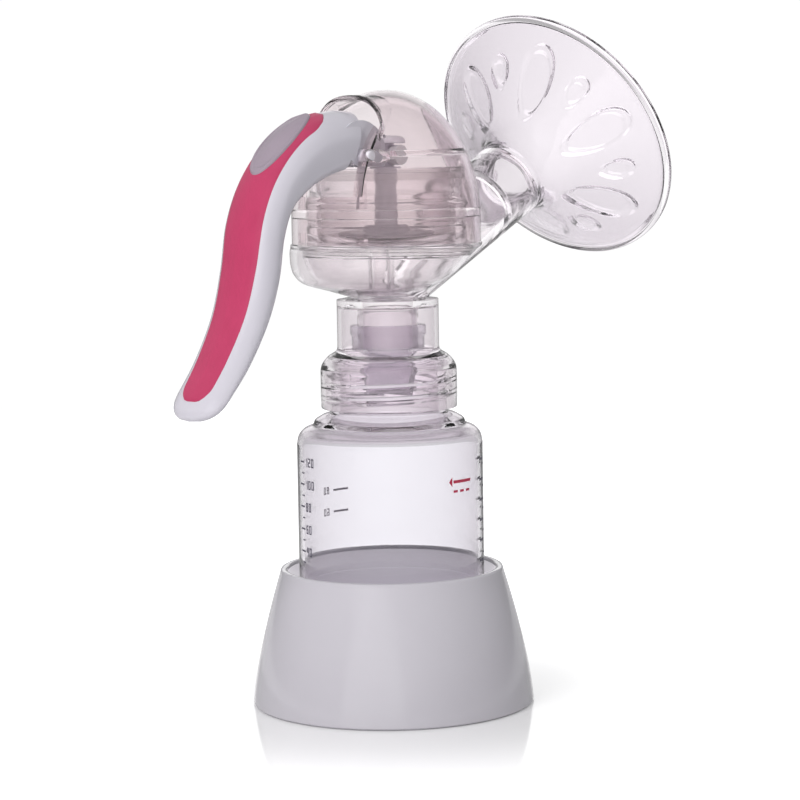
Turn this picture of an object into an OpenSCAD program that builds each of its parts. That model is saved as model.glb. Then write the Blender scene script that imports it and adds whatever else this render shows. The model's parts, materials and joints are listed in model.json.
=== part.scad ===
// Hand-lever breast pump on a bottle stand. Millimetres, +Z up.
// Origin: centre of the stand's foot. The shield points to +X, the handle to -X,
// and the object is the same on both sides of the XZ plane.

/* [Stand] */
// Radius of the stand's foot
stand_foot_r = 41.8; // [40:0.2:44]
// Radius of the stand's top lip
stand_top_r = 32.8; // [32:0.2:34]
// Height of the stand
stand_h = 40.6; // [36:0.2:44]
// Wall thickness of the stand's skin
stand_wall = 2.2; // [1.8:0.1:2.6]

/* [Bottle] */
// Radius of the bottle's body
bottle_r = 27.5; // [27:0.1:27.8]
// Height of the bottle's underside above the foot
bottle_z = 3; // [2.8:0.1:4]
// Wall thickness of the bottle
bottle_wall = 1.4; // [1.2:0.1:1.8]
// Height at which the shoulder starts
shoulder_z = 77.5; // [75:0.5:79]
// Height of the neck's rim
neck_top_z = 102.3; // [102:0.1:102.4]
// Inside radius of the neck
neck_bore_r = 14.6; // [14.2:0.1:14.8]

/* [Pump body] */
// Outside radius of the screw skirt
skirt_r = 20.8; // [20.6:0.1:21.2]
// Height of the skirt's lower edge
skirt_z = 88; // [87.6:0.1:88.4]
// Outside radius of the collar above the skirt
collar_r = 15.8; // [15.8:0.1:16.2]
// Height of the plate between the collar and the bowl
plate_z = 120; // [120:0.1:120.2]
// Outside radius of the down tube that the valve is pushed on
down_tube_r = 9; // [9:0.1:9.2]
// Outside radius of the bowl's rim
bowl_r = 28.2; // [28.2:0.1:28.4]
// Height of the bowl's rim
bowl_top_z = 136.3; // [136.2:0.1:136.4]

/* [Shield] */
// Upward tilt of the shield's axis, in degrees
shield_tilt = 29; // [28:0.5:30]
// Height at which the shield's axis crosses the pump's axis
axis_z = 123; // [122.5:0.1:123.5]
// Distance along the shield's axis to the front of the rim
rim_d = 92; // [91:0.5:93]
// Outside radius of the cushion's rolled rim
rim_r = 42; // [41:0.5:43]
// Outside radius of the shield's throat
throat_r = 12; // [12:0.1:12.4]

/* [Vacuum cup] */
// Outside radius of the cup
cup_r = 23.4; // [23.3:0.1:23.5]
// Height of the cup's rim
cup_top_z = 157; // [156.8:0.1:157.2]

/* [Cover] */
// Outside radius of the cover
cover_r = 27.8; // [27.7:0.1:27.9]
// Height of the cover's top
cover_top_z = 181; // [180.5:0.1:181.5]
// Wall thickness of the cover
cover_wall = 1.8; // [1.6:0.1:1.8]
// Half width of the slot that the handle passes through
slot_half_w = 10.5; // [10.4:0.1:10.6]

/* [Handle] */
// Width of the handle
handle_w = 19.6; // [19:0.1:19.8]
// Distance of the hinge from the pump's axis
pivot_x = 19; // [19:0.1:19.2]
// Height of the hinge
pivot_z = 162; // [161.8:0.1:162.2]
// Radius of the hinge pin
pin_r = 2; // [2:0.1:2.2]

/* [Hidden] */
$fn = 96;
eps = 0.02;
run_gap = 0.05;

// ---- helpers ----------------------------------------------------------------

// A solid turned about Z from its [radius, height] outline.
module turned(outline) {
    rotate_extrude() polygon(outline);
}

// A ring between two radii and two heights.
module ring(r_out, r_in, z0, z1) {
    translate([0, 0, z0])
        difference() {
            cylinder(r = r_out, h = z1 - z0);
            translate([0, 0, -1]) cylinder(r = r_in, h = z1 - z0 + 2);
        }
}

// Puts a shape drawn along Z on the shield's axis.
module on_shield_axis() {
    translate([0, 0, axis_z]) rotate([0, 90 - shield_tilt, 0]) children();
}

// A smooth curve through hand-placed points: Catmull-Rom, n steps per span.
function mix4(a, b, c, d, t) =
    0.5 * (2 * b + (c - a) * t + (2 * a - 5 * b + 4 * c - d) * t * t
           + (3 * b - a - 3 * c + d) * t * t * t);
function smooth(p, n = 4) =
    let (last = len(p) - 1)
    [for (i = [0:last - 1]) for (k = [0:n - 1])
        mix4(p[max(i - 1, 0)], p[i], p[i + 1], p[min(i + 2, last)], k / n),
     p[last]];
function flipped(p) = [for (i = [len(p) - 1:-1:0]) p[i]];

// ---- stand ------------------------------------------------------------------

pocket_r = bottle_r + 0.8;
pocket_floor = bottle_z - 0.3;
sleeve_wall = 1.8;
stand_steps = 12;
// Radius of the stand's skin at height z: a gentle inward sweep.
function stand_r(z) =
    stand_foot_r - (stand_foot_r - stand_top_r) * pow(z / stand_h, 1.4);

sleeve_r = pocket_r + sleeve_wall;
ledge_z = stand_h - 4;
ledge_low_z = ledge_z - stand_wall;

// Outer skin with the lip and the ledge round the bottle.
module stand() {
    lip = 1.6;
    outside = [for (i = [0:stand_steps]) let (z = (stand_h - lip) * i / stand_steps)
               [stand_r(z), z]];
    inside = [for (i = [stand_steps:-1:0]) let (z = ledge_low_z * i / stand_steps)
              [stand_r(z) - stand_wall, z]];
    color("gainsboro") turned(concat(
        [[pocket_r, ledge_low_z]], inside, outside,
        [[stand_top_r - 0.5, stand_h - 0.4], [stand_top_r - 1.2, stand_h],
         [stand_top_r - 1.8, stand_h - 0.4], [pocket_r + 0.6, ledge_z], [pocket_r, ledge_z]]));
}

// Inner cup that holds the bottle, with six ribs to the skin.
module stand_core() {
    rib_t = 1.8;
    rib_gap = 0.1;
    top_z = ledge_low_z - eps;
    rib_line = [for (i = [1:stand_steps]) let (z = (top_z - 2) * i / stand_steps)
                [stand_r(z) - stand_wall - rib_gap, z]];
    color("silver") difference() {
        union() {
            cylinder(r = sleeve_r, h = top_z);
            for (a = [0:60:300]) rotate([90, 0, a])
                translate([0, 0, -rib_t / 2]) linear_extrude(rib_t)
                    polygon(concat([[sleeve_r - 0.5, rib_line[0][1]]], rib_line,
                                   [[sleeve_r - 0.5, top_z - 2]]));
        }
        translate([0, 0, pocket_floor]) cylinder(r = pocket_r, h = stand_h);
    }
}

// ---- bottle and its seal ------------------------------------------------------

thread_root_r = 17;
thread_r = 18.5;
thread_pitch = 3.6;

module bottle() {
    base_round = 4;
    shoulder_r = 22.6;
    neck_z = 86.8;
    w = bottle_wall;
    round_steps = 6;
    foot = [for (i = [0:round_steps]) let (a = -90 + 90 * i / round_steps)
            [bottle_r - base_round + base_round * cos(a),
             bottle_z + base_round + base_round * sin(a)]];
    foot_in = [for (i = [0:round_steps]) let (a = -90 + 90 * i / round_steps)
               [bottle_r - base_round + (base_round - w) * cos(a),
                bottle_z + base_round + (base_round - w) * sin(a)]];
    shoulder = smooth([[bottle_r, shoulder_z], [26.7, 80.5], [24.6, 82.4], [shoulder_r, 83]], 3);
    shoulder_in = smooth([[bottle_r - w, shoulder_z], [25.2, 79.8], [23, 81.2], [20.4, 82]], 3);
    ridge = 0.7;
    ridges = [for (z = [neck_z + 3:thread_pitch:neck_top_z - 3])
              each [[thread_root_r, z - 2 * ridge], [thread_r, z - ridge],
                    [thread_r, z + ridge], [thread_root_r, z + 2 * ridge]]];
    color([0.93, 0.93, 0.95, 0.5]) turned(concat(
        [[0, bottle_z + 1.2], [12, bottle_z + 0.8]], foot, shoulder,
        [[shoulder_r - 0.5, 84.6], [thread_root_r + 2.6, neck_z - 0.6], [thread_root_r, neck_z]],
        ridges,
        [[16.4, neck_top_z - 1.2], [16.4, neck_top_z], [neck_bore_r, neck_top_z],
         [neck_bore_r, neck_z], [16, 84.4]],
        flipped(shoulder_in), flipped(foot_in),
        [[12, bottle_z + 0.8 + w], [0, bottle_z + 1.2 + w]]));
}

seal_t = 0.6;
seal_gap = 0.02;

// Flat silicone washer between the bottle's rim and the pump body.
module neck_seal() {
    color("whitesmoke")
        ring(16.3, neck_bore_r + 0.1, neck_top_z + seal_gap, neck_top_z + seal_t - seal_gap);
}

// ---- pump body ----------------------------------------------------------------

down_bore_r = 7.4;
down_end_z = 106;
plate_t = 2;
bowl_shift = 8.5;
bowl_wall = 2;
cover_clear_r = cover_r + 0.5;
low_tube_r = 4.6;
low_bore_r = 3.1;
low_tube_drop = 6.2;
tube_bore_r = 8.4;
socket_d = 62;
cup_floor_z = 133.5;

// The bowl's solid: its underside is set back towards the handle.
module bowl_solid(inset, floor_z, top_z) {
    hull() {
        translate([0, 0, 132]) cylinder(r = bowl_r - inset, h = top_z - 132);
        translate([-bowl_shift, 0, floor_z + 4.2]) cylinder(r = 19.6 - inset, h = 0.5);
        translate([-bowl_shift, 0, floor_z + 1.8]) cylinder(r = 17 - inset, h = 0.5);
        translate([0, 0, floor_z]) cylinder(r = 12.4 - inset, h = 0.5);
    }
}

// Upright column that the slanted tube stays out of.
module column(r, z) {
    translate([0, 0, z]) cylinder(r = r, h = 60);
}

module skirt() {
    turned([[collar_r, plate_z], [collar_r, 104.6], [skirt_r, 100.5], [skirt_r, skirt_z],
            [19, skirt_z], [19, 99.4], [16.75, 101.6], [16.75, neck_top_z + seal_t],
            [14.3, neck_top_z + seal_t], [14.3, plate_z - plate_t],
            [down_tube_r, plate_z - plate_t], [down_tube_r, down_end_z],
            [down_bore_r, down_end_z], [down_bore_r, plate_z - 0.4], [0, plate_z - 0.4],
            [0, plate_z + 0.1], [collar_r, plate_z + 0.1]]);
}

module tube_outside() {
    difference() {
        on_shield_axis() cylinder(r1 = 9.6, r2 = throat_r, h = socket_d);
        column(cover_clear_r, bowl_top_z);
        translate([0, 0, plate_z - 60]) cylinder(r = 60, h = 60);
        bowl_solid(bowl_wall / 2, plate_z + bowl_wall / 2, bowl_top_z + 1);
    }
    difference() {
        on_shield_axis() translate([low_tube_drop, 0, 8]) cylinder(r = low_tube_r, h = 34);
        column(bowl_r - bowl_wall, cup_floor_z - 0.3);
        column(cover_clear_r, bowl_top_z);
        translate([0, 0, plate_z - 60]) cylinder(r = 60, h = 60);
    }
    // hub under the air tube
    translate([-2.5, 0, plate_z]) cylinder(r = 5.4, h = 4);
}

module tube_inside() {
    difference() {
        on_shield_axis() cylinder(r = tube_bore_r, h = socket_d + 1);
        column(cover_clear_r + 1.6, bowl_top_z - 1.6);
        translate([0, 0, plate_z - 58.6]) cylinder(r = 60, h = 60);
        bowl_solid(0, plate_z, bowl_top_z);
    }
    on_shield_axis() translate([0, 0, 48]) cylinder(r = 10, h = 20);
    difference() {
        on_shield_axis() translate([low_tube_drop, 0, 3]) cylinder(r = low_bore_r, h = 37);
        ring(30, down_bore_r - 0.2, 100, plate_z - 0.9);
        column(bowl_r - bowl_wall, cup_floor_z - 1.6);
        column(cover_clear_r + 1.6, bowl_top_z - 1.6);
    }
    // air port and the seat of the air tube
    translate([-2.5, 0, 110]) cylinder(r = 2.2, h = 20);
    translate([-2.5, 0, plate_z + 1.8]) cylinder(r = 3.8, h = 10);
}

module pump_body() {
    color([0.93, 0.93, 0.95, 0.5]) difference() {
        union() {
            skirt();
            difference() {
                bowl_solid(0, plate_z, bowl_top_z);
                bowl_solid(bowl_wall, plate_z + bowl_wall, bowl_top_z + 1);
            }
            tube_outside();
        }
        tube_inside();
    }
}

// ---- valve --------------------------------------------------------------------

valve_top_z = 112.6;
valve_r = 11.2;

module duckbill_valve() {
    bill_z = 103.5;
    bill_end = 92;
    bill_r = 9;
    color("white") difference() {
        union() {
            ring(valve_r, down_tube_r, bill_z + 2, valve_top_z);
            ring(valve_r, down_bore_r - 1.4, bill_z, bill_z + 2);
            intersection() {
                translate([0, 0, bill_end]) cylinder(r = bill_r, h = bill_z - bill_end + 1);
                rotate([90, 0, 0]) translate([0, 0, -15]) linear_extrude(30)
                    polygon([[-bill_r, bill_z + 1], [bill_r, bill_z + 1],
                             [1.1, bill_end], [-1.1, bill_end]]);
            }
        }
        // hollow of the bill, closed at the slit
        intersection() {
            translate([0, 0, bill_end]) cylinder(r = bill_r - 1.2, h = bill_z);
            rotate([90, 0, 0]) translate([0, 0, -10]) linear_extrude(20)
                polygon([[-bill_r + 1.4, bill_z + 3], [bill_r - 1.4, bill_z + 3],
                         [0.15, bill_end + 1.5], [-0.15, bill_end + 1.5]]);
        }
        translate([0, 0, bill_z + 0.5]) cylinder(r = down_bore_r - 1.4, h = 10);
    }
}

// ---- cup, diaphragm and rod -----------------------------------------------------

cup_bore_r = 20.8;
rim_out_r = 22.4;
cup_plate_z = 135;
seal_groove_z = 134.4;

module vacuum_cup() {
    flange_r = bowl_r - bowl_wall - run_gap;
    color([0.95, 0.9, 0.92, 0.5]) difference() {
        union() {
            turned([[0, cup_floor_z], [flange_r, cup_floor_z], [flange_r, bowl_top_z - 0.2],
                    [cup_r, bowl_top_z - 0.2], [cup_r, 147], [cup_r + 0.7, 147.5],
                    [cup_r + 0.7, 148.3], [cup_r, 148.8], [cup_r, 149.6], [rim_out_r, 151],
                    [rim_out_r, cup_top_z], [cup_bore_r, cup_top_z],
                    [cup_bore_r, cup_plate_z], [0, cup_plate_z]]);
            translate([-2.5, 0, plate_z + 1.8])
                cylinder(r = 3.8 - run_gap, h = cup_floor_z - plate_z - 1.8 + eps);
        }
        translate([-2.5, 0, 110]) cylinder(r = 2.2, h = 40);
        ring(flange_r + 2, flange_r - 1, seal_groove_z, seal_groove_z + 1.2);
    }
}

// Silicone ring in the groove round the cup's flange.
module cup_seal() {
    color("whitesmoke") ring(bowl_r - bowl_wall - 0.02, bowl_r - bowl_wall - run_gap - 0.98,
                             seal_groove_z + 0.05, seal_groove_z + 1.15);
}

film_t = 1.2;
film_floor_z = 136.2;

module diaphragm() {
    wall_r = cup_bore_r - 0.3;
    hook_r = rim_out_r + run_gap;
    color([0.96, 0.93, 0.92, 0.8]) turned([
        [3.5, film_floor_z], [wall_r - 2.5, film_floor_z], [wall_r - 0.7, film_floor_z + 0.7],
        [wall_r, film_floor_z + 2.5], [wall_r, cup_top_z + 0.02],
        [hook_r, cup_top_z + 0.02], [hook_r, cup_top_z - 2], [hook_r + 0.8, cup_top_z - 2],
        [hook_r + 0.8, cup_top_z + 1.3], [wall_r - film_t, cup_top_z + 1.3],
        [wall_r - film_t, film_floor_z + 2.8], [wall_r - film_t - 1.6, film_floor_z + film_t],
        [3.5, film_floor_z + film_t]]);
}

// Stiff disc inside the diaphragm, which the rod pulls up.
module diaphragm_plate() {
    plate_r = 14;
    z = film_floor_z + film_t + 0.02;
    color("whitesmoke")
        turned([[3.45, z], [plate_r, z], [plate_r, z + 1], [plate_r - 0.6, z + 1.6],
                [6.6, z + 1.6], [6, z + 4], [3.45, z + 4]]);
}

rod_r = 3.4;
neck_r = 2.6;
nose_r = 3;
fork_gap = 0.35;

module pull_rod() {
    foot_z = film_floor_z - 0.8;
    neck_lo = pivot_z - nose_r - fork_gap;
    neck_hi = pivot_z + nose_r + fork_gap;
    color("gainsboro") turned([
        [0, foot_z], [5.5, foot_z], [5.5, film_floor_z - 0.02], [rod_r, film_floor_z - 0.02],
        [rod_r, neck_lo - 1.6], [4.6, neck_lo - 1], [4.6, neck_lo], [neck_r, neck_lo],
        [neck_r, neck_hi], [6, neck_hi], [6, neck_hi + 1.2], [4.6, neck_hi + 2.2],
        [0, neck_hi + 2.4]]);
}

// ---- cover --------------------------------------------------------------------

cover_z = 136.6;
cover_mid_z = 144;
slot_low_z = 150.5;
hood_x = 15;
hood_r = 13.4;
hood_z = 165.5;
jamb_t = 1.9;
guide_r = cup_r + 0.3;

// The cover's outline: a short cylinder under half an ellipse.
function cover_line(r, h, z0) = concat(
    [[0, z0], [r, z0]],
    [for (i = [0:16]) let (a = 90 * i / 16) [r * cos(a), cover_mid_z + h * sin(a)]]);

module hood_bar(r, length) {
    translate([-hood_x, 0, hood_z]) rotate([0, 90, 0]) cylinder(r = r, h = length);
}

module dome_cover() {
    rise = cover_top_z - cover_mid_z;
    color([0.95, 0.88, 0.9, 0.5]) difference() {
        union() {
            difference() {
                union() {
                    turned(cover_line(cover_r, rise, cover_z));
                    hood_bar(hood_r, 12);
                }
                turned(cover_line(cover_r - cover_wall, rise - cover_wall, cover_z - 1));
                translate([0, 0, 0.01]) hood_bar(hood_r - 1.4, 11);
                translate([-40, -slot_half_w, slot_low_z])
                    cube([40 - hood_x + 0.01, 2 * slot_half_w, 32]);
            }
            // ring that turns round the cup, under the cup's bead
            ring(cover_r - 1, guide_r, 144, 146.6);
            // stiffening rib above the cup
            intersection() {
                ring(cover_r, 20.4, 161.5, 163.3);
                turned(cover_line(cover_r - 0.9, rise - 0.9, cover_z));
                translate([-14, -40, 100]) cube([60, 80, 100]);
            }
            // jambs beside the slot
            intersection() {
                turned(cover_line(cover_r - 0.4, rise - 0.4, cover_z));
                for (s = [-1, 1]) translate([0, s * (slot_half_w + jamb_t / 2), 0])
                    difference() {
                        translate([-40, -jamb_t / 2, cover_z])
                            cube([40 - hood_x, jamb_t, 34]);
                        translate([0, -s * (slot_half_w + jamb_t / 2), 100])
                            cylinder(r = guide_r + 0.9, h = cup_top_z + 2 - 100);
                    }
            }
        }
        translate([-pivot_x, 30, pivot_z]) rotate([90, 0, 0]) cylinder(r = pin_r, h = 60);
    }
}

module pivot_pin() {
    half = slot_half_w + jamb_t;
    color("silver") translate([-pivot_x, half, pivot_z]) rotate([90, 0, 0])
        cylinder(r = pin_r - 0.01, h = 2 * half);
}

// ---- handle -------------------------------------------------------------------

// Outer and inner edges of the handle, seen from the side, from the head to the tip.
outer_edge = [[-15.8, 174.8], [-24, 174.9], [-36, 172.8], [-46, 166.3], [-54, 156.6],
              [-59.2, 145], [-61.8, 132], [-65.6, 119.2], [-72, 107.5], [-78.8, 97.8],
              [-81, 94]];
inner_edge = [[-15.8, 158.8], [-22.5, 158.4], [-31, 156.6], [-40, 153], [-47, 147.6],
              [-50.6, 139.6], [-52.8, 128.5], [-57.4, 117], [-65.2, 105.2], [-73.4, 96.4],
              [-77, 92.6]];
tip = [[-80.9, 92.2], [-79.6, 90.6], [-78, 91.2]];
back_t = 2.2;
inlay_t = 1.2;

// Moves a smooth line sideways by d, to its right as it runs.
function beside(p, d) = [for (i = [0:len(p) - 1])
    let (a = p[max(i - 1, 0)], b = p[min(i + 1, len(p) - 1)], t = (b - a) / norm(b - a))
    p[i] + d * [t[1], -t[0]]];

outer_line = smooth(outer_edge);
inner_line = smooth(inner_edge);
span = 4;

// Extrudes an outline drawn in X and Z across the width.
module across(w) {
    rotate([90, 0, 0]) translate([0, 0, -w / 2]) linear_extrude(w) children();
}

// The handle's outline seen from the front: straight sides and a round tip.
module front_outline(w) {
    tip_r = w / 2;
    translate([-100, 0, 90.4 + tip_r]) rotate([0, 90, 0]) cylinder(r = tip_r, h = 100);
    translate([-100, -w / 2, 90.4 + tip_r]) cube([100, w, 90]);
}

// A strip of the outer skin between two stations, d deep, with rounded ends.
module skin_strip(first, last, d, half_w) {
    line = [for (i = [first * span:last * span]) outer_line[i]];
    deep = beside(line, -d);
    across(2 * half_w) polygon(concat(line, flipped(deep)));
}

badge_pos = [-43.8, 167.9];
badge_turn = 38;

module badge_shape(extra) {
    intersection() {
        skin_strip(1, 5, inlay_t, handle_w / 2);
        translate([badge_pos[0], 0, badge_pos[1]]) rotate([0, -badge_turn, 0])
            translate([0, 0, -12]) linear_extrude(24)
                scale([13.2 + extra, 6.6 + extra]) circle(r = 1);
    }
}

module inlay_shape() {
    half_w = 8;
    top_x = -30.5;
    intersection() {
        skin_strip(1, 10, inlay_t, half_w);
        // round end at the tip, seen from the front
        translate([-100, 0, 96.5 + half_w]) union() {
            rotate([0, 90, 0]) cylinder(r = half_w, h = 100);
            translate([0, -half_w, 0]) cube([100, 2 * half_w, 90]);
        }
        // round end at the head, seen from above
        translate([top_x - half_w, 0, 80]) union() {
            cylinder(r = half_w, h = 100);
            translate([-80, -half_w, 0]) cube([80, 2 * half_w, 100]);
        }
    }
}

module fork() {
    shank = 1.4;
    for (s = [-1, 1]) {
        translate([-16.5, s * 4.9 - 1.6, pivot_z - shank]) cube([16.5, 3.2, 2 * shank]);
        translate([0, s * 4.9 + 1.6, pivot_z]) rotate([90, 0, 0])
            cylinder(r = nose_r, h = 3.2);
    }
}

// The round head that reaches under the hood, about the hinge.
module hinge_hub() {
    hub_r = 9.3;
    hub_w = 17;
    translate([-pivot_x, 0, pivot_z]) intersection() {
        translate([0, hub_w / 2, 0]) rotate([90, 0, 0]) cylinder(r = hub_r, h = hub_w);
        translate([-hub_r, -hub_w / 2, -3.2]) cube([2 * hub_r, hub_w, 2 * hub_r]);
    }
}

module handle_shell() {
    color("lightsteelblue") difference() {
        union() {
            intersection() {
                across(handle_w) polygon(concat(outer_line, tip, flipped(inner_line)));
                front_outline(handle_w);
            }
            hinge_hub();
            fork();
        }
        inlay_shape();
        badge_shape(0);
        handle_hollow();
        back_shape(back_t, handle_w + 1);
        cup_relief();
        translate([-pivot_x, 30, pivot_z]) rotate([90, 0, 0])
            cylinder(r = pin_r + run_gap, h = 60);
    }
}

back_first = 3 * span;

// The strip along the inner edge that the back cover takes, t deep.
module back_shape(t, w) {
    low = [for (i = [back_first:10 * span]) inner_line[i]];
    across(w) polygon(concat(low, flipped(beside(low, t))));
}

// The hollow behind the outer wall, which the back cover closes.
module handle_hollow() {
    wall = 3.4;
    side = 2.2;
    last = 7 * span;
    top = beside([for (i = [back_first + 1:last]) outer_line[i]], -wall);
    low = beside([for (i = [back_first + 1:last]) inner_line[i]], back_t - 0.1);
    across(handle_w - 2 * side) polygon(concat(top, flipped(low)));
}

// Room for the cup's rim under the head, over the handle's whole travel.
squeeze = 25;
function turned_back(p) = [p[0] * cos(squeeze) + p[1] * sin(squeeze),
                           p[1] * cos(squeeze) - p[0] * sin(squeeze)];
module cup_relief() {
    rim_z = cup_top_z + 1.7 - pivot_z;
    rim_x = pivot_x - rim_out_r - 1.4;
    deep = 8;
    translate([-pivot_x, 0, pivot_z]) across(handle_w + 1)
        polygon([[6, rim_z], [0, rim_z], turned_back([0, rim_z]),
                 turned_back([rim_x, rim_z]), turned_back([rim_x, rim_z - deep]),
                 [6, rim_z - deep]]);
}

module handle_back() {
    color("lightsteelblue") intersection() {
        back_shape(back_t - eps, handle_w);
        front_outline(handle_w);
    }
}

module grip_inlay() {
    color("palevioletred") difference() {
        inlay_shape();
        badge_shape(0);
    }
}

module badge() {
    color("silver") badge_shape(0);
}

// ---- shield and cushion ---------------------------------------------------------

shield_wall = 1.8;
lining_t = 1.6;
funnel_gap = 0.3;

// Outline of the funnel's back: throat, blend and cone, moved in by d along the cone.
function funnel_line(d) = [
    [throat_r - d, 66 - 0.2 * d], [13.4 - d, 69.2 + 0.2 * d], [17 - d * 0.8, 73.4 + d * 0.6],
    [24 - d * 0.7, 78.6 + d * 0.7], [33 - d * 0.6, 84.4 + d * 0.8],
    [39.6 - d * 0.4, 88.6 + d]];

module breast_shield() {
    back = smooth(funnel_line(0), 3);
    front = smooth(funnel_line(shield_wall), 3);
    color([0.93, 0.93, 0.95, 0.5]) on_shield_axis() turned(concat(
        [[tube_bore_r, 50], [10 - run_gap, 50], [10 - run_gap, socket_d + run_gap],
         [throat_r, socket_d + run_gap]],
        back, [[40.4, 89.4], [40.4, 90.6]], flipped(front), [[tube_bore_r + 1.8, 64],
        [tube_bore_r, 61]]));
}

petal_count = 6;
petal_rise = 1.6;

// A slot-shaped column along the shield's axis, standing on one spoke.
module spoke_slot(radius, length, width) {
    flat = length - width;
    translate([radius, 0, 60]) linear_extrude(40) {
        square([flat, width], center = true);
        for (s = [-1, 1]) translate([s * flat / 2, 0]) circle(d = width);
    }
}

module massage_cushion() {
    back_d = shield_wall + funnel_gap;
    back = smooth(funnel_line(back_d), 3);
    front = smooth(funnel_line(back_d + lining_t), 3);
    raised = smooth(funnel_line(back_d + lining_t + petal_rise), 3);
    color([0.95, 0.93, 0.95, 0.7]) on_shield_axis() {
        turned(concat(
            [[tube_bore_r - 1.5, 63], [throat_r - back_d - 0.1, 65.4]],
            back, [[rim_r - 1.3, 90.9], [rim_r - 1.3, 89], [rim_r - 0.4, 89.4], [rim_r, 90.6],
            [rim_r - 0.4, rim_d - 0.4], [rim_r - 1.4, rim_d + 0.4], [39, rim_d + 0.4]],
            flipped(front)));
        intersection() {
            turned(concat(flipped(raised), smooth(funnel_line(back_d + 0.4), 3)));
            for (i = [0:petal_count - 1]) {
                rotate(17 + 60 * i) spoke_slot(25, 18, 10.5);
                rotate(47 + 60 * i) spoke_slot(27, 7.5, 6);
            }
        }
    }
}

// ---- assembly -------------------------------------------------------------------

stand();
stand_core();
bottle();
neck_seal();
pump_body();
duckbill_valve();
vacuum_cup();
cup_seal();
diaphragm();
diaphragm_plate();
pull_rod();
dome_cover();
pivot_pin();
handle_shell();
handle_back();
grip_inlay();
badge();
breast_shield();
massage_cushion();
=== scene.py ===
"""Hand-lever breast pump on a bottle stand: detailed meshes, materials, lights and camera.

Lengths are in millimetres until a mesh is made, and the axes are those of the CAD frame.
"""
import math

import bmesh
import bpy
import numpy as np
from mathutils import Matrix, Vector
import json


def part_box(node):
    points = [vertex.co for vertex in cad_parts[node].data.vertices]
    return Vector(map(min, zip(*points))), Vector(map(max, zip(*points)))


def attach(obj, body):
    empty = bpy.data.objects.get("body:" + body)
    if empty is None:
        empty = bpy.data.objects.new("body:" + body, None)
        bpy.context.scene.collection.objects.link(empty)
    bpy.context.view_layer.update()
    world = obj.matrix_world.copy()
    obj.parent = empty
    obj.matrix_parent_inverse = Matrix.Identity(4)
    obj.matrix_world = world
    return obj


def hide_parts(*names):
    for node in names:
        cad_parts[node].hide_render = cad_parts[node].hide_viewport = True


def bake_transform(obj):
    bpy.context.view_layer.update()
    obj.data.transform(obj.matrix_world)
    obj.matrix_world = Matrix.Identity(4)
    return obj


MM = 0.001
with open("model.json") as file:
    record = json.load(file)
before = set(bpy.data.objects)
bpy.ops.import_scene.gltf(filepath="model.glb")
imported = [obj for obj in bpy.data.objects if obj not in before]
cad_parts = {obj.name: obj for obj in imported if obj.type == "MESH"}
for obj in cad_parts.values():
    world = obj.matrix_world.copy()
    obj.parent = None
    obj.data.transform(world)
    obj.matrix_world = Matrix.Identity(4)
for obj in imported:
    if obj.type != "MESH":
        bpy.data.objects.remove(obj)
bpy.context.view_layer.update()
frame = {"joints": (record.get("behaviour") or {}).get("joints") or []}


# ---------------- sizes from the frame

def span(node):
    """A node's lowest and highest corners, in millimetres."""
    lo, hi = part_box(node)
    return lo / MM, hi / MM


joints = {j["name"]: j for j in frame["joints"]}
pivot_x, _, pivot_z = (v / MM for v in joints["handle_squeeze"]["pos_m"])
pull = joints["cushion_pull"]["axis"]
tilt = math.atan2(pull[2], pull[0])

foot_r, stand_h = span("stand")[1].x, span("stand")[1].z
bottle_r, neck_top = span("bottle")[1].x, span("bottle")[1].z
bottle_z = span("bottle")[0].z
skirt_z = span("pump_body")[0].z
cup_top = span("vacuum_cup")[1].z
cup_depth = 23.5
cup_floor = cup_top - cup_depth
dome_r, dome_top = span("dome_cover")[1].x, span("dome_cover")[1].z
dome_z = span("dome_cover")[0].z
valve_top, valve_end = span("duckbill_valve")[1].z, span("duckbill_valve")[0].z
rod_top, rod_foot = span("pull_rod")[1].z, span("pull_rod")[0].z
film_top, film_floor = span("diaphragm")[1].z, span("diaphragm")[0].z
seal_lo, seal_hi = span("neck_seal")
pin_half = span("pivot_pin")[1].y

# heights of the body's floor plate, the bowl's rim and the shield's axis, and the bowl's radius
plate_z = 120.0
bowl_top = 136.3
bowl_r = 28.2
axis_z = 123.0
on_axis = Matrix.Translation((0, 0, axis_z)) @ Matrix.Rotation(math.pi / 2 - tilt, 4, "Y")


# ---------------- mesh helpers

def curve(points, steps=6):
    """A smooth line through points of any dimension: Catmull-Rom."""
    p = np.array(points, float)
    made = []
    for i in range(len(p) - 1):
        a, b, c, d = p[max(i - 1, 0)], p[i], p[i + 1], p[min(i + 2, len(p) - 1)]
        for k in range(steps):
            t = k / steps
            made.append(0.5 * (2 * b + (c - a) * t + (2 * a - 5 * b + 4 * c - d) * t * t
                               + (3 * b - a - 3 * c + d) * t ** 3))
    made.append(p[-1])
    return [tuple(q) for q in made]


def soften(outline, reach=0.4, steps=3, least=14):
    """Rounds the corners of a closed outline; a third number is a corner's own reach."""
    made = []
    for i, p in enumerate(outline):
        a, b = outline[i - 1], outline[(i + 1) % len(outline)]
        own = p[2] if len(p) > 2 else reach
        p, a, b = (np.array(q[:2], float) for q in (p, a, b))
        la, lb = np.linalg.norm(a - p), np.linalg.norm(b - p)
        if la < 1e-6 or lb < 1e-6 or p[0] < 1e-6 or own <= 0:
            made.append(tuple(p))
            continue
        turn = math.degrees(math.acos(max(-1, min(1, float((p - a) @ (b - p)) / (la * lb)))))
        if turn < least:
            made.append(tuple(p))
            continue
        s = p + (a - p) / la * min(own, 0.45 * la)
        e = p + (b - p) / lb * min(own, 0.45 * lb)
        for k in range(steps + 1):
            t = k / steps
            made.append(tuple((1 - t) ** 2 * s + 2 * t * (1 - t) * p + t * t * e))
    return made


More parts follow.
